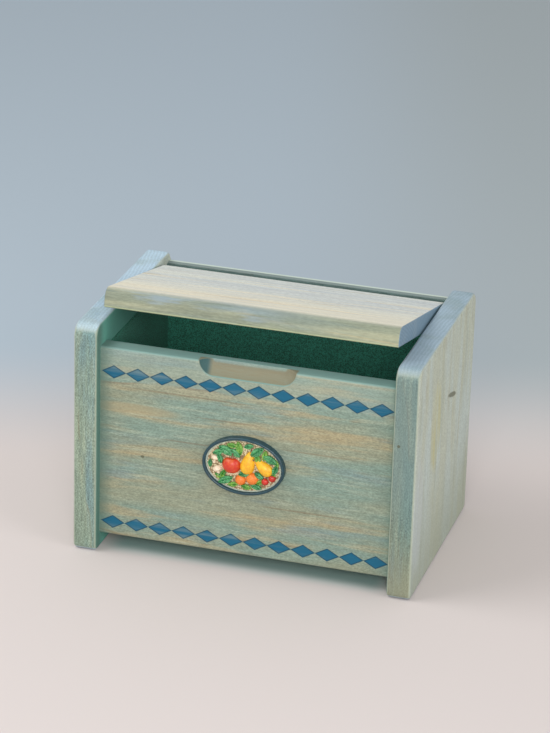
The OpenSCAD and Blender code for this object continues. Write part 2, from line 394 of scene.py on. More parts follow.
class Value:
    """A number that flows between shader nodes: arithmetic on it adds Math nodes."""

    def __init__(self, finish, socket):
        self.finish = finish
        self.socket = socket

    __add__ = __radd__ = arithmetic("ADD")
    __sub__ = arithmetic("SUBTRACT")
    __rsub__ = arithmetic("SUBTRACT", swapped=True)
    __mul__ = arithmetic("MULTIPLY")
    __truediv__ = arithmetic("DIVIDE")
    __pow__ = arithmetic("POWER")
    __abs__ = arithmetic("ABSOLUTE")


class Finish:
    """A material being built on its Principled shader."""

    def __init__(self, name, **constants):
        self.material = bpy.data.materials.new(name)
        self.material.use_nodes = True
        self.tree = self.material.node_tree
        self.shader = next(n for n in self.tree.nodes if n.type == "BSDF_PRINCIPLED")
        for socket, value in constants.items():
            self.shader.inputs[socket.replace("_", " ")].default_value = value
        self.place = self.node("ShaderNodeTexCoord", output="Object")

    def node(self, kind, settings=None, inputs=None, output=0):
        """Adds a node: its settings first, then the values or links of its sockets."""
        made = self.tree.nodes.new(kind)
        for key, value in (settings or {}).items():
            setattr(made, key, value)
        for key, value in (inputs or {}).items():
            if isinstance(value, Value):
                self.tree.links.new(value.socket, made.inputs[key])
            else:
                made.inputs[key].default_value = value
        return Value(self, made.outputs[output])

    def math(self, operation, *values):
        return self.node("ShaderNodeMath", {"operation": operation}, dict(enumerate(values)))

    def axes(self, vector=None):
        """The three coordinates of a place."""
        made = self.node("ShaderNodeSeparateXYZ", inputs={0: vector or self.place}).socket.node
        return [Value(self, socket) for socket in made.outputs]

    def ramp(self, value, low, high):
        """0 up to low, 1 from high on, and smooth between."""
        return self.node(
            "ShaderNodeMapRange",
            {"interpolation_type": "SMOOTHSTEP"},
            {"Value": value, "From Min": low, "From Max": high},
        )

    def fall(self, value, low, high):
        """1 up to low, 0 from high on, and smooth between."""
        return 1 - self.ramp(value, low, high)

    def noise(self, size, detail=2, seed=0.0, roughness=0.5):
        """Noise with flecks of the given size in metres, or of three sizes along X, Y and Z."""
        sizes = (size, size, size) if isinstance(size, float) else size
        place = self.node(
            "ShaderNodeMapping",
            inputs={
                "Vector": self.place,
                "Scale": [1 / s for s in sizes],
                "Location": (seed * 7.3, seed * 3.1, seed * 5.7),
            },
        )
        return self.node(
            "ShaderNodeTexNoise",
            inputs={"Vector": place, "Scale": 1.0, "Detail": detail, "Roughness": roughness},
        )

    def mix(self, share, first, second, blend="MIX"):
        """A colour between two: share is how much of the second."""
        return self.node(
            "ShaderNodeMix",
            {"data_type": "RGBA", "blend_type": blend},
            {0: share, 6: first, 7: second},
            output=2,
        )

    def grey(self, value):
        """A number as a colour, for blends."""
        return self.node("ShaderNodeCombineColor", inputs={0: value, 1: value, 2: value})

    def put(self, socket, value):
        self.tree.links.new(value.socket, self.shader.inputs[socket])

    def bump(self, height, distance, strength):
        """Lets height, from 0 to 1, stand distance metres proud in the shading."""
        sizes = {"Strength": strength, "Distance": distance, "Height": height}
        self.put("Normal", self.node("ShaderNodeBump", inputs=sizes))


class Pine(Finish):
    """Pine under a thin wash, built up in layers along its grain."""

    def __init__(self, name, grain, seed, pith, turn=None, stretch=1.0):
        super().__init__(name, Specular_IOR_Level=0.3)
        self.stretch = stretch
        self.seed = seed
        self.grain = "XYZ".index(grain)
        self.pith = pith
        if turn:
            self.place = turn(self)
        self.x, self.y, self.z = self.axes()
        self.normal = self.axes(self.node("ShaderNodeTexCoord", output="Normal"))
        self.fibre = self.flecks(0.006, 0.00042, 3, 1)
        self.streak = self.flecks(0.020, 0.0012, 4, 2)
        self.band = self.flecks(0.060, 0.0050, 3, 3)
        self.specks = self.flecks(0.0010, 0.00045, 2, 24)

    def flecks(self, long, wide, detail, layer):
        """Noise that is long with the grain and wide across it."""
        size = [wide] * 3
        size[self.grain] = long * self.stretch
        return self.noise(size, detail, self.seed + 0.37 * layer, 0.55)

    def rings(self, gap, sway, away=1.0):
        """How far a place is from one yearly ring to the next, round the board's pith."""
        across, deep = self.pith[0], self.pith[1] * away
        if self.grain == 0:
            spread = ((self.z - across) ** 2.0 + (self.y - deep) ** 2.0) ** 0.5
        else:
            spread = ((self.y - across) ** 2.0 + (self.x - deep) ** 2.0) ** 0.5
        return self.math("FRACT", spread / gap + sway)

    def coat(self, wash, second, blue, warm, pale, late, contrast=1.0, grit=1.0):
        """Colours the wood; the parts of it that are given show more with a higher contrast."""
        colour = self.mix(self.ramp(self.flecks(0.09, 0.016, 2, 4), 0.38, 0.62), wash, second)
        colour = self.mix(self.ramp(self.band, 0.50, 0.70) * (0.62 * contrast), colour, warm)
        blues = self.ramp(self.flecks(0.055, 0.0065, 3, 5), 0.50, 0.72) * (0.62 * contrast)
        colour = self.mix(blues, colour, blue)
        colour = self.mix(self.ramp(self.streak, 0.50, 0.74) * (0.42 * contrast), colour, pale)
        phase = self.rings(0.0062, self.flecks(0.10, 0.03, 2, 6) * 3.0)
        shown = self.ramp(self.flecks(0.035, 0.007, 2, 7), 0.50, 0.62)
        soft = self.ramp(phase, 0.35, 0.92) * self.fall(phase, 0.92, 1.0)
        thin = self.ramp(phase, 0.84, 0.93) * self.fall(phase, 0.93, 0.98)
        colour = self.mix(soft * shown * (0.40 * contrast), colour, warm)
        colour = self.mix(thin * shown * (0.45 * contrast), colour, late)
        tone = 1.0 + ((self.fibre - 0.5) * 0.60 + (self.specks - 0.5) * 1.1) * grit
        return self.mix(1.0, colour, self.grey(tone), "MULTIPLY")

    def rub(self, colour, paler, share):
        """Lets the wash be rubbed thin along the rounded arrises."""
        flat = self.math("MAXIMUM", abs(self.normal[0]), abs(self.normal[1]))
        flat = self.math("MAXIMUM", flat, abs(self.normal[2]))
        return self.mix(self.ramp(1 - flat, 0.05, 0.20) * share, colour, paler)

    def stain_ends(self, colour, end_grain_and_crest_highlight, share=0.9):
        """Lets the sawn ends take a bluer stain, with the yearly rings as arcs."""
        ends = self.ramp(abs(self.normal[self.grain]), 0.35, 0.85)
        phase = self.rings(0.0016, self.noise(0.012, 2, self.seed) * 1.4, 3.0)
        arcs = 0.91 + self.ramp(abs(phase - 0.5), 0.10, 0.45) * 0.12 + (self.specks - 0.5) * 0.5
        thick = self.ramp(self.noise(0.016, 2, self.seed + 2.0), 0.36, 0.58)
        stained = self.mix(1.0, end_grain_and_crest_highlight, self.grey(arcs), "MULTIPLY")
        return self.mix(ends * (share - (1 - thick) * 0.3), colour, stained)

    def spot(self, colour, plane, place, half, tint, share, lean=0.0):
        """A soft oval patch in the plane of two axes: its middle and its half sizes in mm."""
        along = getattr(self, plane[0]) - place[0] * MM
        first = along / (half[0] * MM)
        other = (getattr(self, plane[1]) - place[1] * MM + along * lean) / (half[1] * MM)
        reach = first * first + other * other + (self.streak - 0.5) * 1.2
        return self.mix(self.fall(reach, 0.5, 1.6) * share, colour, tint)

    def done(self, colour):
        self.put("Base Color", colour)
        self.put("Roughness", 0.48 + self.fibre * 0.22)
        self.bump(self.fibre * 0.6 + self.streak * 0.4, 0.00010, 0.6)
        return self.material


def panel_colours():
    c = properties("finish")
    return [linear(v) for v in (c.wash, c.teal, c.blue, c.warm, c.pale, c.late)]


def front_finish():
    """Washed pine with a stencilled row of diamonds along the top and one along the foot."""
    c, cove, stencil = properties("finish"), properties("woodwork"), properties("stencil")
    f = Pine("washed_pine_front", "X", 3.0, (0.045, 0.075))
    wash, teal, blue, warm, pale, late = panel_colours()
    colour = f.coat(wash, teal, blue, warm, pale, late)
    for place, half, tint, share in (
        ((-47.8, 48.5), (0.8, 0.6), linear(c.knot), 0.8),
        ((-52, 71), (20, 2.6), warm, 0.45),
        ((-26, 81), (26, 0.35), late, 0.45),
        ((-8, 71.5), (14, 0.35), late, 0.45),
        ((-26, 58.5), (12, 0.35), late, 0.45),
        ((34, 62), (18, 0.35), late, 0.45),
        ((30, 33), (20, 0.35), late, 0.45),
    ):
        colour = f.spot(colour, "xz", place, half, tint, share)
    colour = f.rub(colour, pale, 0.3)
    upward = f.ramp(f.normal[2], 0.25, 0.85)
    colour = f.mix(upward * 0.88, colour, linear(c.upward))
    upper = f.ramp(f.z, FRONT_HIGH.z - 20 * MM, FRONT_HIGH.z - 6 * MM)
    colour = f.mix(upper * 0.3, colour, linear(c.pale_teal))
    # Painted shade: the front panel darker next to the side panels, most on the left
    painted_side_shade = f.ramp(f.x * -1.0, FRONT_HIGH.x - 8 * MM, FRONT_HIGH.x) * 0.6
    painted_side_shade = painted_side_shade + f.ramp(f.x, FRONT_HIGH.x - 5 * MM, FRONT_HIGH.x) * 0.25
    colour = f.mix(painted_side_shade, colour, linear(c.painted_side_shade))
    half, deep = cove.scoop_width / 2, FRONT_LOW.y + cove.scoop_depth
    near = f.fall(abs(f.x), half - 0.0003, half + 0.0005)
    cut = near * f.ramp(f.y, FRONT_LOW.y + 0.0004, FRONT_LOW.y + 0.0008)
    cut = cut * f.fall(f.y, deep - 0.0003, deep)
    colour = f.mix(cut * (0.55 + f.fibre * 0.5), colour, linear(c.scoop))
    colour = f.mix(cut * f.ramp(f.normal[0], 0.12, 0.50), colour, linear(c.cut))
    half = stencil.count * stencil.pitch / 2
    along = f.math("FRACT", (f.x + half) / stencil.pitch) - 0.5
    face = f.fall(f.y, FRONT_LOW.y + 0.0003, FRONT_LOW.y + 0.0005)
    face = face * f.fall(abs(f.x), half, half + 0.0001)
    wear = f.ramp(f.streak, 0.30, 0.42) * 0.10 + 0.88
    for height in (FRONT_HIGH.z - stencil.top_drop, FRONT_LOW.z + stencil.foot_rise):
        reach = abs(along) * 2.0 + abs(f.z - height) * (2.0 / stencil.height)
        inside = f.fall(reach, 0.99, 1.05)
        dye = f.mix(f.fibre * 0.6, linear(stencil.paint), toned(stencil.paint, 0.86))
        dye = f.mix(f.ramp(f.band, 0.44, 0.66) * 0.30, dye, pale)
        dye = f.mix(f.ramp(reach, 0.76, 0.94) * 0.8, dye, toned(stencil.paint, 0.62))
        colour = f.mix(inside * face * wear, colour, dye)
    return f.done(colour)


def back_finish():
    """The back board: a painted highlight makes its upward faces pale, and painted shade darkens
    its inner arris.
    """
    f = Pine("washed_pine_back", "X", 8.0, (0.05, -0.03))
    colour = f.coat(*panel_colours())
    # Painted highlight: the upward faces of the top edge turn pale
    colour = f.mix(f.ramp(f.normal[2], 0.3, 0.9) * 0.8, colour, linear((0.80, 0.86, 0.82)))
    # Painted shade: the inner arris takes the grey of the shaded gap behind the lid
    inner = f.fall(f.y, BACK_LOW.y + 1.6 * MM, BACK_LOW.y + 2.3 * MM)
    return f.done(f.mix(inner * 0.85, colour, linear(properties("finish").painted_gap_shade)))


def side_finish(name, seed, marked):
    """Washed pine with upright grain: calmer on its wide faces, with knots where marked."""
    c = properties("finish")
    f = Pine(name, "Z", seed, (-0.03, 0.16 if marked else -0.16))
    wash, teal, blue, warm, pale, late = panel_colours()
    yellow, milk, knot = linear(c.side_warm), linear(c.side_pale), linear(c.knot)
    edges = f.coat(wash, teal, blue, yellow, pale, late, 1.0, 1.9)
    tint = (0.68, 0.76, 0.80, 1.0) if marked else (0.85, 0.98, 1.05, 1.0)
    edges = f.mix(1.0, edges, tint, "MULTIPLY")
    faces = f.coat(milk, f.mix(0.45, milk, yellow), wash, yellow, milk, late, 0.55, 0.9)
    faces = f.mix(f.fall(f.z, 0.0, 0.055) * 0.5, faces, wash)
    if marked:
        edges = f.mix(f.ramp(f.z, 0.020, 0.060) * 0.45, edges, blue)
        edges = f.mix(f.fall(f.z, 0.004, 0.040) * 0.5, edges, f.mix(0.4, wash, warm))
        edges = f.spot(edges, "xz", (70.9, 74), (0.7, 0.7), knot, 0.8)
        broken = f.ramp(f.band, 0.30, 0.60) * 0.65
        faces = f.spot(faces, "yz", (-17, 70), (8, 20), linear(c.yellow), broken)
        faces = f.spot(faces, "yz", (-44, 38), (8, 26), linear(c.lid_cool), 0.35)
        faces = f.spot(faces, "yz", (12, 74), (7.6, 1.2), knot, 0.8, 0.30)
    # Inner faces under the lid: a teal stain darkened by painted shade, darker still where the
    # side's inner face runs in front of the front panel
    inside = f.fall(abs(f.x), FRONT_HIGH.x + 0.0002, FRONT_HIGH.x + 0.0010)
    inside = inside * f.fall(f.y, 0.018, 0.034)
    shade = f.fall(f.y, FRONT_LOW.y - 0.002, FRONT_LOW.y + 0.006)
    within = f.mix(shade, linear(c.inside), toned(c.inside, 0.66))
    faces = f.mix(inside * 0.85, faces, within)
    wide = f.ramp(abs(f.normal[0]), 0.4, 0.9)
    colour = f.rub(f.mix(wide, edges, faces), pale, 0.5)
    return f.done(f.stain_ends(colour, toned(c.end_grain_and_crest_highlight, 1.0 if marked else 1.16)))


def lid_turn(f):
    """Reads the lid's grain as if the lid lay closed."""
    centred = f.node(
        "ShaderNodeVectorMath",
        {"operation": "SUBTRACT"},
        {0: f.place, 1: HINGE["pos_m"]},
    )
    return f.node(
        "ShaderNodeVectorRotate",
        {"rotation_type": "X_AXIS"},
        {"Vector": centred, "Angle": radians(-HINGE["range_deg"][0])},
    )


def lid_finish():
    """The palest board: a thin milky wash, thicker and darker round its front edge."""
    c, sizes = properties("finish"), properties("woodwork")
    f = Pine("washed_pine_lid", "X", 5.0, (-0.06, -0.03), lid_turn, 2.2)
    wash, _, blue, warm, pale, _ = panel_colours()
    milk, cream, cool = linear(c.lid_wash), linear(c.lid_warm), linear(c.lid_cool)
    rubbed, yellow = linear((0.88, 0.89, 0.87)), linear(c.side_warm)
    top = f.coat(milk, f.mix(0.4, milk, cool), cool, cream, rubbed, warm, 1.2)
    front = sizes.hinge_inset - sizes.lid_depth
    forward = f.fall(f.y + (f.band - 0.5) * 0.05, front + 0.010, front + 0.045)
    top = f.mix(forward * 0.5, top, cream)
    fine = f.ramp(f.flecks(0.03, 0.0008, 3, 9), 0.48, 0.66)
    top = f.mix(fine * (0.65 - forward * 0.35), top, toned(c.lid_cool, 0.92))
    edge = f.coat(linear(c.lid_edge), wash, blue, yellow, pale, warm, 0.9, 0.6)
    nose = f.fall(f.y, front + sizes.lid_nose * 0.3, front + sizes.lid_nose * 1.1)
    low = sizes.lid_thickness / -2
    under = f.fall(f.z, low + 0.0006, low + 0.001)
    colour = f.mix(f.math("MAXIMUM", nose, under), top, edge)
    # Pale blue flecks along the nose's crest, on the left: partly bluer stain, partly painted
    # highlight
    crest = f.ramp(f.z, 0.0005, 0.0025) * nose
    crest = crest * f.ramp(f.flecks(0.04, 0.006, 2, 8), 0.40, 0.60)
    leftward = f.fall(f.x, -0.010, 0.045)
    colour = f.mix(crest * leftward * 0.35, colour, linear(c.end_grain_and_crest_highlight))
    honey = nose * (1 - leftward) * f.ramp(f.band, 0.42, 0.62)
    colour = f.mix(honey * 0.15, colour, yellow)
    pool = f.ramp(f.flecks(0.016, 0.005, 3, 10), 0.50, 0.66) * nose
    colour = f.mix(pool * leftward * 0.6, colour, toned(c.end_grain_and_crest_highlight, 0.90))
    lower = f.ramp(f.z, low + 0.0001, low + 0.0004)
    lower = lower * f.fall(f.z, low + 0.0006, low + 0.0010)
    colour = f.mix(lower * nose * 0.7, colour, linear((0.74, 0.79, 0.62)))
    ends = linear([v * tone for v, tone in zip(c.end_grain_and_crest_highlight, (0.79, 0.84, 0.87))])
    return f.done(f.stain_ends(colour, ends, 1.25))


def felt_finish():
    """Pressed wool: a dark ground with paler fibres lying every way."""
    c = properties("finish")
    f = Finish("green_felt", Roughness=0.95, Sheen_Weight=0.05, Sheen_Roughness=0.6)
    fuzz = f.noise(0.0005, 2, 1.0, 0.7)
    clumps = f.noise(0.004, 2, 2.0)
    colour = f.mix(f.ramp(fuzz, 0.34, 0.66), toned(c.felt, 0.58), toned(c.felt, 1.2))
    colour = f.mix(clumps * 0.15, colour, toned(c.felt, 1.25))
    # Painted shade: the felt near the back panel's top takes the grey of the shaded gap behind the
    # lid
    upper = f.ramp(f.axes()[2], BACK_HIGH.z - 0.008, BACK_HIGH.z - 0.004)
    f.put("Base Color", f.mix(upper * 0.85, colour, linear(c.painted_gap_shade)))
    f.bump(fuzz, 0.0004, 0.8)
    return f.material


def ply_finish():
    bare, warm, dark = (toned(properties("finish").ply, tone) for tone in (1.0, 0.92, 0.78))
    pine = Pine("birch_ply", "X", 12.0, (0.0, -0.08))
    return pine.done(pine.coat(bare, warm, bare, warm, bare, dark, 0.8))


def dowel_finish():
    bare, dark = (toned(properties("finish").dowel, tone) for tone in (1.0, 0.85))
    pine = Pine("beech_dowel", "X", 15.0, (0.0, 0.0))
    return pine.done(pine.coat(bare, bare, dark, bare, bare, dark, 0.6))


def steel_finish():
    """Drawn steel wire: fine rings round the pin."""
    bare, dark = (toned(properties("finish").steel, tone) for tone in (1.0, 0.8))
    f = Finish("pin_steel", Metallic=1.0)
    rings = f.noise((0.00008, 0.002, 0.002), 2, 1.0)
    f.put("Base Color", f.mix(rings * 0.3, bare, dark))
    f.put("Roughness", 0.28 + rings * 0.15)
    return f.material


def glaze(name, colour, second, fleck, share, roughness=0.38, lumps=0.00006):
    """Brushed craft paint under a satin varnish, mottled between two colours."""
    f = Finish(name, Coat_Weight=0.25, Coat_Roughness=0.25)
    strokes = f.noise(fleck, 3, 2.0, 0.6)
    broad = f.noise(0.004, 2, 6.0)
    mottle = f.ramp(strokes * 0.6 + broad * 0.4, 0.40, 0.62)
    f.put("Base Color", f.mix(mottle * share, colour, second))
    f.put("Roughness", roughness + strokes * 0.15)
    f.bump(strokes, lumps, 0.7)
    return f.material


def ground_finish():
    """Cream stipple over a brown wash that stays in the hollows, with a painted highlight as a pale
    line inside the rim.
    """
    m = properties("medallion")
    f = Finish("medallion_ground", Coat_Weight=0.15, Coat_Roughness=0.3)
    grains = f.node(
        "ShaderNodeTexVoronoi",
        {"feature": "F1"},
        {"Vector": f.place, "Scale": 1 / 0.0008, "Randomness": 1.0},
    )
    shade = f.ramp(grains, 0.36, 0.70)
    tint = f.noise(0.0012, 2, 4.0)
    cream = f.mix(f.ramp(tint, 0.4, 0.6) * 0.5, linear(m.ground), linear((0.90, 0.84, 0.70)))
    half_x, half_z = MEDAL_HIGH.x - m.rim_width, MEDAL_HIGH.z - MEDAL_MIDDLE - m.rim_width
    x, _, z = f.axes()
    reach = ((x / half_x) ** 2.0 + ((z - MEDAL_MIDDLE) / half_z) ** 2.0) ** 0.5
    colour = f.mix(shade * 0.9, cream, linear(m.ground_shade))
    # Painted highlight: a pale line all round just inside the rim
    f.put("Base Color", f.mix(f.ramp(reach, 0.94, 0.97), colour, linear(m.lip)))
    f.put("Roughness", 0.45 + shade * 0.2)
    f.bump(1 - grains, 0.0003, 0.8)
    return f.material


# Pieces


class RECIPEBOX_OT_side_panels(Operator):
    """Model the two thick side panels, with rounded corners and arrises"""

    bl_idname = "recipebox.side_panels"
    bl_label = "Side Panels"

    def execute(self, context):
        sizes = context.scene.recipe_box_woodwork
        for node, seed, marked in (("side_left", 20.0, False), ("side_right", 31.0, True)):
            low, high = corners(node)
            piece = board(f"{node}_board", low, high)
            round_over(
                piece, lambda e: runs_along(e, "X") and middle(e).z > high.z - TINY,
                sizes.corner_radius, 12,
            )
            round_over(
                piece, lambda e: runs_along(e, "X") and middle(e).z < low.z + TINY,
                sizes.foot_radius, 8,
            )
            round_over(
                piece, lambda e: any(abs(middle(e).x - x) < TINY for x in (low.x, high.x)),
                sizes.arris_radius, 5,
            )
            finish = side_finish(f"washed_{node}", seed, marked)
            dress(piece, "washed_pine_side", finish, node)
        return {"FINISHED"}


class RECIPEBOX_OT_front_panel(Operator):
    """Model the front panel and cut its finger scoop"""

    bl_idname = "recipebox.front_panel"
    bl_label = "Front Panel"

    def execute(self, context):
        sizes = context.scene.recipe_box_woodwork
        piece = board("front_panel_board", FRONT_LOW, FRONT_HIGH)
        round_over(piece, lambda e: runs_along(e, "X"), sizes.front_arris, 5)
        scoop = self.scoop(sizes)
        modifier(piece, "BOOLEAN", object=scoop, operation="DIFFERENCE", solver="EXACT")
        bpy.data.objects.remove(scoop)
        top = FRONT_HIGH.z - sizes.scoop_height - MM
        half = sizes.scoop_width / 2 + MM
        round_over(
            piece,
            lambda e: abs(middle(e).x) < half
            and middle(e).z > top
            and len(e.link_faces) == 2
            and e.calc_face_angle() > radians(32),
            sizes.scoop_lip, 2,
        )
        dress(piece, "washed_pine_front", front_finish(), "front_panel")
        return {"FINISHED"}

    def scoop(self, sizes):
        """A ball-ended bar along the top edge, whose lower rear part is the scoop."""
        high, deep = sizes.scoop_height, sizes.scoop_depth
        out = (high**2 - deep**2) / (2 * deep)
        reach = sizes.scoop_width / 2 - high
        start_fresh()
        bpy.ops.mesh.primitive_uv_sphere_add(
            segments=72,
            ring_count=36,
            radius=out + deep,
            location=(0, FRONT_LOW.y - out, FRONT_HIGH.z),
            rotation=(0, pi / 2, 0),
        )
        piece = settle(named("scoop_cutter"))
        for side in (-1, 1):
            pick(piece, "verts", lambda v: v.co.x * side > TINY)
            bpy.ops.transform.translate(value=(side * reach, 0, 0))
        mode("OBJECT")
        return piece


class RECIPEBOX_OT_back_panel(Operator):
    """Model the thin back panel"""

    bl_idname = "recipebox.back_panel"
    bl_label = "Back Panel"

    def execute(self, context):
        sizes = context.scene.recipe_box_woodwork
        piece = board("back_panel_board", *corners("back_panel"))
        round_over(piece, lambda e: runs_along(e, "X"), sizes.back_arris, 4)
        dress(piece, "washed_pine_front", back_finish(), "back_panel")
        return {"FINISHED"}


class RECIPEBOX_OT_lid(Operator):
    """Model the lid closed and open it to where it rests"""

    bl_idname = "recipebox.lid"
    bl_label = "Lid"

    def execute(self, context):
        sizes = context.scene.recipe_box_woodwork
        hinge = Vector(HINGE["pos_m"])
        half = corners("lid")[1].x
        rear = hinge.y + sizes.hinge_inset
        low = Vector((-half, rear - sizes.lid_depth, hinge.z - sizes.lid_thickness / 2))
        high = Vector((half, rear, hinge.z + sizes.lid_thickness / 2))
        piece = board("lid_board", low, high)

        def is_nose(edge):
            place = middle(edge)
            return place.y < low.y + TINY and place.z > high.z - TINY

        round_over(piece, lambda e: runs_along(e, "X") and is_nose(e), sizes.lid_nose, 10)
        round_over(
            piece,
            lambda e: runs_along(e, "X")
            and len(e.link_faces) == 2
            and e.calc_face_angle() > radians(60),
            sizes.lid_arris, 4,
        )
        round_over(
            piece, lambda e: abs(abs(middle(e).x) - half) < TINY, sizes.lid_end_arris, 3
        )
        take(piece)
        turn = Matrix.Rotation(radians(HINGE["range_deg"][0]), 4, "X")
        piece.matrix_world = Matrix.Translation(hinge) @ turn @ Matrix.Translation(-hinge)
        settle(piece)
        dress(piece, "washed_pine_lid", lid_finish(), "lid", body="lid")
        return {"FINISHED"}


class RECIPEBOX_OT_lining(Operator):
    """Line the bottom and the four walls with felt"""

    bl_idname = "recipebox.lining"
    bl_label = "Felt Lining"

    def execute(self, context):
        felt = felt_finish()
        for seed, wall in enumerate(("bottom", "front", "back", "left", "right")):
            node = f"lining_{wall}"
            low, high = corners(node)
            piece = board(f"{node}_felt", low, high)
            pick(piece, "faces", lambda f: True)
            bpy.ops.mesh.subdivide(number_cuts=FELT_CUTS)
            thin = min(range(3), key=lambda i: high[i] - low[i])
            top = [i for i in range(3) if i != thin][-1]
            pick(piece, "verts", lambda v: v.co[top] > high[top] - TINY)
            bpy.ops.transform.vertex_random(offset=FELT_LUMPS, uniform=0.6, seed=seed)
            mode("OBJECT")
            dress(piece, "green_felt", felt, node, angle=60)
        return {"FINISHED"}


class RECIPEBOX_OT_hidden_parts(Operator):
    """Finish the bottom panel, the dowels and the hinge pins of the frame"""

    bl_idname = "recipebox.hidden_parts"
    bl_label = "Bottom, Dowels and Pins"

    def execute(self, context):
        for material, *nodes in (
            (ply_finish(), "bottom_panel"),
            (dowel_finish(), "front_dowels", "back_dowels"),
            (steel_finish(), "hinge_pin_left", "hinge_pin_right"),
        ):
            for node in nodes:
                paint(frame["nodes"][node], material)
        return {"FINISHED"}


# The medallion's relief


def place_on_relief(piece, local):
    """Stands the piece on the front face by its place in the relief."""
    take(piece)
    upright = Matrix(((1, 0, 0, 0), (0, 0, -1, 0), (0, 1, 0, 0), (0, 0, 0, 1)))
    face = Matrix.Translation((0, FRONT_LOW.y, MEDAL_MIDDLE)) @ upright
    piece.matrix_world = face @ local
    return settle(piece)


def copy_on_relief(model, x, y, height, turn, shape):
    """Stands a copy of the model at x and y in mm, turned in degrees."""
    copy = model.copy()
    copy.data = model.data.copy()
    bpy.context.collection.objects.link(copy)
    local = Matrix.Translation((x * MM, y * MM, height)) @ Matrix.Rotation(radians(turn), 4, "Z")
    return place_on_relief(copy, local @ shape)


def trim_behind(piece, depth):
    """Cuts off what lies deeper than depth over the front face, and closes the cut."""
    mode("EDIT")
    choose_all()
    bpy.ops.mesh.bisect(
        plane_co=(0, FRONT_LOW.y - depth, 0), plane_no=(0, 1, 0), use_fill=True, clear_outer=True
    )
    mode("OBJECT")
    return piece


def joined(name, pieces):
    """Several copies as one piece."""
    take(*pieces)
    if len(pieces) > 1:
        bpy.ops.object.join()
    return named(name)


class RECIPEBOX_OT_medallion(Operator):
    """Model the oval plate with its rounded rim and stippled ground"""

    bl_idname = "recipebox.medallion"
    bl_label = "Medallion Plate"

    def execute(self, context):
        m = context.scene.recipe_box_medallion
        size = MEDAL_HIGH - MEDAL_LOW
        half_x, half_z = size.x / 2, size.z / 2
        start_fresh()
        bpy.ops.mesh.primitive_circle_add(vertices=OVAL_SIDES, radius=1, fill_type="NGON")
        rim = named("medallion_rim")
        rim.scale = (half_x, half_z, 1)
        settle(rim)
        pick(rim, "faces", lambda f: True)
        crest = m.rim_width / 2
        wall = m.rim_height - crest
        profile = [(0.0, 0.0), (0.0, wall)]
        steps = 6
        for i in range(1, steps + 1):
            a = pi * i / steps
            profile.append((crest - crest * cos(a), wall + crest * sin(a)))
        profile.append((m.rim_width, m.ground_height - SUNK))
        for (inset, height), (next_inset, next_height) in zip(profile, profile[1:]):
            extrude(next_height - height)
            shrink = [(half - next_inset) / (half - inset) for half in (half_x, half_z)]
            bpy.ops.transform.resize(value=(*shrink, 1), center_override=(0, 0, 0))
        close_up()
        place_on_relief(rim, Matrix.Identity(4))
        blue = glaze("medallion_rim_glaze", linear(m.rim), toned(m.rim, 0.72), 0.003, 0.6, 0.3)
        dress(rim, "painted_resin", blue, "medallion", angle=50)
        self.ground(m, half_x - m.rim_width, half_z - m.rim_width)
        return {"FINISHED"}

    def ground(self, m, half_x, half_z):
        """The stippled ground inside the rim, as a fine grid with small pebbles."""
        start_fresh()
        bpy.ops.mesh.primitive_circle_add(vertices=OVAL_SIDES, radius=1, fill_type="NOTHING")
        piece = named("medallion_ground")
        piece.scale = (half_x, half_z, 1)
        piece.location.z = m.ground_height - GROUND_THICK
        settle(piece)
        pick(piece, "edges", lambda e: True)
        bpy.ops.mesh.fill_grid(span=OVAL_SIDES // 4)
        choose_all()
        bpy.ops.mesh.subdivide(number_cuts=3)
        choose_all()
        extrude(GROUND_THICK)
        close_up()
        pebbles = bpy.data.textures.new("pebbles", "VORONOI")
        pebbles.noise_scale = PEBBLE_GAP
        upper = piece.vertex_groups.new(name="upper")
        inner = [
            v.index for v in piece.data.vertices
            if v.co.z > m.ground_height - TINY
            and (v.co.x / half_x) ** 2 + (v.co.y / half_z) ** 2 < 0.97
        ]
        upper.add(inner, 1.0, "REPLACE")
        modifier(
            piece, "DISPLACE", texture=pebbles, texture_coords="LOCAL", vertex_group="upper",
            direction="Z", strength=-m.pebble, mid_level=0.5,
        )
        bpy.data.textures.remove(pebbles)
        piece.vertex_groups.clear()
        place_on_relief(piece, Matrix.Identity(4))
        dress(piece, "painted_resin", ground_finish(), angle=60)


def arc():
    """Angles from the lower pole to the upper one."""
    return [pi * (i / 20 - 0.5) for i in range(21)]


def apple(r):
    return [
        (r * cos(a) * (1 + 0.08 * sin(a)), r * (0.95 * sin(a) - 0.22 * sin(a) ** 9))
        for a in arc()
    ]


def pear(r, long):
    return [(0.93 * r * cos(a) * (1 - 0.42 * sin(a)), long / 2 * sin(a)) for a in arc()]


def ball(r):
    return [(r * cos(a), r * sin(a)) for a in arc()]


def mushroom(r):
    stem = ((0, -1.3), (0.40, -1.3), (0.44, -1.1), (0.34, -0.5), (0.38, -0.1), (0.9, -0.12))
    cap = [(r * cos(a), 0.8 * r * sin(a)) for a in arc() if a > -0.05]
    return [(wide * r, high * r) for wide, high in stem] + cap


STEM = [(0, -1.3), (0.26, -1.2), (0.22, 0.2), (0.34, 1.1), (0.2, 1.35), (0, 1.35)]

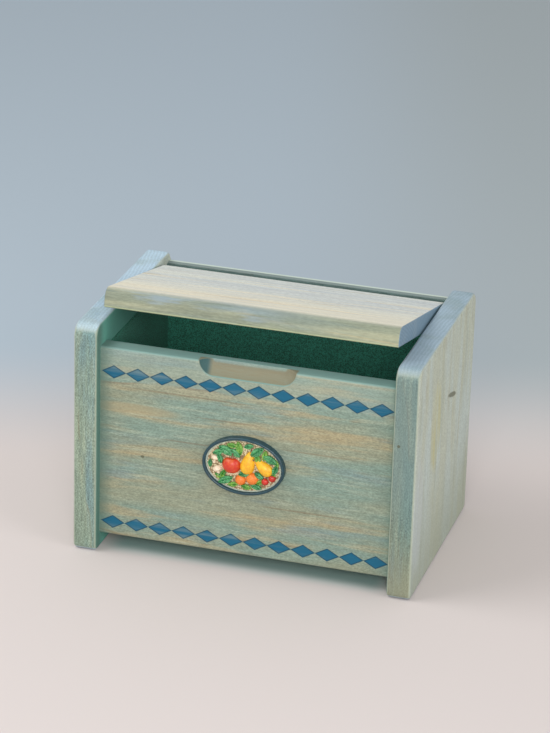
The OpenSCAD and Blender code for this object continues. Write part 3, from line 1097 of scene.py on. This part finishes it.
# Each piece's outlines in mm, where each stands as (x, y, radius, rise, turn), and its paint:
# name, colour, second colour, size of the flecks, their share, roughness and lumps.
FRUIT = {
    "apple": (
        ((apple(4.7), (-5.6, -0.6, 4.7, 2.9, 0)),),
        ("apple_red", "apple", (0.90, 0.50, 0.20), 0.002, 0.45),
    ),
    "pears": (
        ((pear(3.4, 12), (2.2, 2.0, 3.4, 2.7, -12)), (pear(3.1, 10.6), (9.0, 0.8, 3.1, 2.5, 50))),
        ("pear_yellow", "pear", (0.88, 0.58, 0.12), 0.0012, 0.6),
    ),
    "oranges": (
        ((ball(3.0), (4.2, -5.6, 3.0, 2.3, 0)), (ball(2.6), (-1.2, -6.9, 2.6, 2.0, 0))),
        ("orange_peel", "orange", (0.96, 0.62, 0.25), 0.0007, 0.5, 0.45, 0.00018),
    ),
    "mushrooms": (
        (
            (mushroom(2.3), (-12.0, -3.2, 2.3, 2.1, 14)),
            (mushroom(1.9), (-13.2, 2.0, 1.9, 1.8, -12)),
        ),
        ("mushroom_cream", "cream", (0.80, 0.68, 0.52), 0.001, 0.5),
    ),
    "cherries": (
        ((ball(1.7), (13.4, -3.9, 1.7, 1.8, 0), (10.2, -6.0, 1.7, 1.8, 0)),),
        ("cherry_red", "apple", (0.55, 0.08, 0.06), 0.0015, 0.5, 0.25),
    ),
    "stems": (
        ((
            STEM, (-5.0, 4.6, 0.3, 1.5, -14), (3.7, 8.7, 0.3, 1.1, -14), (4.1, 4.2, 0.3, 1.1, 54),
            (12.9, -1.6, 0.3, 0.9, 20), (11.0, -3.6, 0.3, 0.9, -24),
        ),),
        ("stem_brown", "stem", None, 0.0006, 0.5),
    ),
}

# Each leaf as (x, y, length, width, turn)
DARK_LEAVES = (
    (-7.8, 6.6, 8.0, 3.8, 155), (6.2, 7.8, 7.5, 3.6, 35), (12.4, 5.0, 7.0, 3.4, -25),
    (-8.0, -7.6, 7.5, 3.4, 205), (-11.6, 5.4, 5.4, 2.6, 200), (-3.6, 5.9, 5.4, 2.8, 140),
    (14.8, 0.4, 5.0, 2.6, 70), (0.6, -3.4, 5.6, 2.8, 15), (7.4, -3.4, 4.8, 2.4, -30),
    (-10.8, 2.4, 4.8, 2.4, 110), (2.4, 10.0, 4.6, 2.3, 12), (6.2, -9.0, 5.2, 2.4, -12),
    (-15.3, -0.6, 3.8, 1.9, 95),
)
YOUNG_LEAVES = (
    (-2.0, 8.4, 6.5, 3.2, 105), (9.8, 6.6, 5.0, 2.6, 80), (-9.4, -5.0, 5.0, 2.4, 240),
    (1.6, -9.8, 5.0, 2.3, 172), (6.6, 4.4, 5.2, 2.6, 110), (-4.6, -9.4, 5.0, 2.3, 190),
    (13.0, -1.4, 4.6, 2.2, 150), (-5.4, 9.4, 4.8, 2.3, 175), (8.0, -6.6, 4.2, 2.1, 30),
    (15.4, 3.2, 3.8, 1.9, 100), (-11.2, -6.2, 4.0, 2.0, 150),
)


class RECIPEBOX_OT_fruit(Operator):
    """Model the painted fruit, mushrooms and leaves of the relief"""

    bl_idname = "recipebox.fruit"
    bl_label = "Relief Fruit"

    def execute(self, context):
        m = context.scene.recipe_box_medallion
        for name, (forms, (paint_name, first, second, *rest)) in FRUIT.items():
            pieces = [made for form in forms for made in self.fruit(m.ground_height, *form)]
            colour = getattr(m, first)
            second = linear(second) if second else toned(colour, 0.7)
            material = glaze(paint_name, linear(colour), second, *rest)
            dress(joined(f"relief_{name}", pieces), "painted_resin", material, angle=60)
        self.leaves(m)
        return {"FINISHED"}

    def fruit(self, ground, outline, *places):
        """Turns one form and sets a copy of it at each place."""
        model = turned("form", [(max(r, 0) * MM, h * MM) for r, h in outline])
        lying = Matrix.Rotation(-pi / 2, 4, "X")
        copies = []
        for x, y, r, rise, turn in places:
            copy = copy_on_relief(model, x, y, ground + (rise - r) * MM, turn, lying)
            copies.append(trim_behind(copy, ground - SUNK))
        bpy.data.objects.remove(model)
        return copies

    def leaves(self, m):
        """Models one leaf and sets copies of it round the fruit."""
        model = self.leaf()
        for name, lift, colour, edge, places in (
            ("dark", 1.0, m.leaf, m.leaf_edge, DARK_LEAVES),
            ("young", 0.8, m.young_leaf, m.young_edge, YOUNG_LEAVES),
        ):
            height = m.ground_height + lift * MM
            copies = []
            for x, y, long, wide, turn in places:
                shape = Matrix.Diagonal((long * MM, wide * MM, LEAF_RELIEF, 1))
                copies.append(copy_on_relief(model, x, y, height, turn, shape))
            material = glaze(f"{name}_leaf", linear(colour), linear(edge), 0.0007, 0.8)
            dress(joined(f"relief_{name}_leaves", copies), "painted_resin", material, angle=60)
        bpy.data.objects.remove(model)

    def leaf(self):
        """A leaf of length and width 1, its vein pressed in and its flanks raised."""
        start_fresh()
        bpy.ops.mesh.primitive_grid_add(x_subdivisions=14, y_subdivisions=6, size=1)
        model = named("leaf")
        tip = 0.02
        for x in sorted({round(v.co.x, 6) for v in model.data.vertices}):
            width = max(sin(pi * (x + 0.5)) ** 0.8, tip) if abs(x) < 0.499 else tip
            pick(model, "verts", lambda v: abs(v.co.x - x) < 1e-4)
            bpy.ops.transform.resize(value=(1, width, 1), center_override=(x, 0, 0))
        pick(model, "verts", lambda v: abs(v.co.y) < 1e-5)
        bpy.ops.transform.translate(value=(0, 0, -0.10))
        pick(model, "verts", lambda v: 1e-5 < abs(v.co.y) < 0.30 * sin(pi * (v.co.x + 0.5)))
        bpy.ops.transform.translate(value=(0, 0, 0.06))
        choose_all()
        extrude(-0.5)
        close_up()
        return model


class RECIPEBOX_OT_stage(Operator):
    """Lay the pale paper, hang the lamps and stand the camera where the picture was taken"""

    bl_idname = "recipebox.stage"
    bl_label = "Stage"

    def execute(self, context):
        s = context.scene.recipe_box_stage
        self.paper(s)
        for name, (place, size) in LAMPS.items():
            self.lamp(f"{name}_lamp", place, size, getattr(s, name))
        self.sky(context, s)
        self.camera(context, s)
        context.scene.view_settings.view_transform = "Standard"
        return {"FINISHED"}

    def paper(self, s):
        start_fresh()
        bpy.ops.mesh.primitive_circle_add(
            vertices=OVAL_SIDES, radius=FLOOR_RADIUS, fill_type="NGON"
        )
        floor = named("floor_paper")
        f = Finish("pale_paper", Roughness=0.9)
        x, y, _ = f.axes()
        away = Vector((-s.eye[0], -s.eye[1], 0)).normalized()
        far = f.ramp(x * away.x + y * away.y, 0.06, 0.22)
        rightward = f.ramp(x * away.y - y * away.x, -0.02, 0.16)
        behind = f.mix(rightward, linear(s.far), linear(s.far_right))
        paper = f.mix(far, linear(s.floor), behind)
        # Painted shadow and reflection: the paper under the box takes a cool teal tint
        under = f.fall(abs(x), 0.058, 0.070) * f.fall(abs(y), 0.038, 0.052)
        f.put("Base Color", f.mix(under * 0.7, paper, linear(s.under)))
        floor.data.materials.append(f.material)

    def lamp(self, name, place, size, power):
        start_fresh()
        bpy.ops.object.light_add(type="AREA", location=place)
        lamp = named(name)
        lamp.data.shape = "DISK"
        lamp.data.size = size
        lamp.data.energy = power
        lamp.rotation_euler = (LAMP_AIM - Vector(place)).to_track_quat("-Z", "Y").to_euler()

    def sky(self, context, s):
        world = bpy.data.worlds.new("studio_air")
        world.use_nodes = True
        context.scene.world = world
        tree = world.node_tree
        even = tree.nodes["Background"]
        even.inputs["Color"].default_value = (1, 1, 1, 1)
        even.inputs["Strength"].default_value = s.sky
        seen = tree.nodes.new("ShaderNodeBackground")
        seen.inputs["Color"].default_value = linear(s.far)
        seen.inputs["Strength"].default_value = 1.0
        rays = tree.nodes.new("ShaderNodeLightPath")
        choose = tree.nodes.new("ShaderNodeMixShader")
        tree.links.new(rays.outputs["Is Camera Ray"], choose.inputs[0])
        tree.links.new(even.outputs[0], choose.inputs[1])
        tree.links.new(seen.outputs[0], choose.inputs[2])
        tree.links.new(choose.outputs[0], tree.nodes["World Output"].inputs[0])

    def camera(self, context, s):
        bpy.ops.object.camera_add(location=s.eye, rotation=Euler(s.turn))
        camera = named("picture_camera")
        camera.data.sensor_fit = "HORIZONTAL"
        camera.data.sensor_width = 36
        camera.data.lens = s.lens
        camera.data.clip_end = VIEW_END
        context.scene.camera = camera


STEPS = (
    RECIPEBOX_OT_side_panels,
    RECIPEBOX_OT_front_panel,
    RECIPEBOX_OT_back_panel,
    RECIPEBOX_OT_lid,
    RECIPEBOX_OT_lining,
    RECIPEBOX_OT_hidden_parts,
    RECIPEBOX_OT_medallion,
    RECIPEBOX_OT_fruit,
    RECIPEBOX_OT_stage,
)


class RECIPEBOX_PT_sidebar(Panel):
    """The steps of the box and its sizes and colours"""

    bl_idname = "RECIPEBOX_PT_sidebar"
    bl_label = "Recipe Card Box"
    bl_space_type = "VIEW_3D"
    bl_region_type = "UI"
    bl_category = "Recipe Box"

    def draw(self, context):
        for step in STEPS:
            self.layout.operator(step.bl_idname)
        for name in GROUPS:
            group = getattr(context.scene, name)
            box = self.layout.box()
            box.label(text=name.replace("recipe_box_", "").title())
            for key in group.__annotations__:
                box.prop(group, key)


GROUPS = {
    "recipe_box_woodwork": RecipeBoxWoodwork,
    "recipe_box_stencil": RecipeBoxStencil,
    "recipe_box_medallion": RecipeBoxMedallion,
    "recipe_box_finish": RecipeBoxFinish,
    "recipe_box_stage": RecipeBoxStage,
}


def register():
    for group in GROUPS.values():
        bpy.utils.register_class(group)
    for step in STEPS:
        bpy.utils.register_class(step)
    bpy.utils.register_class(RECIPEBOX_PT_sidebar)
    for name, group in GROUPS.items():
        setattr(bpy.types.Scene, name, PointerProperty(type=group))


def unregister():
    for name in GROUPS:
        delattr(bpy.types.Scene, name)
    bpy.utils.unregister_class(RECIPEBOX_PT_sidebar)
    for step in reversed(STEPS):
        bpy.utils.unregister_class(step)
    for group in reversed(GROUPS.values()):
        bpy.utils.unregister_class(group)


def main():
    register()
    for step in STEPS:
        area, name = step.bl_idname.split(".")
        getattr(getattr(bpy.ops, area), name)()


if __name__ == "__main__":
    main()
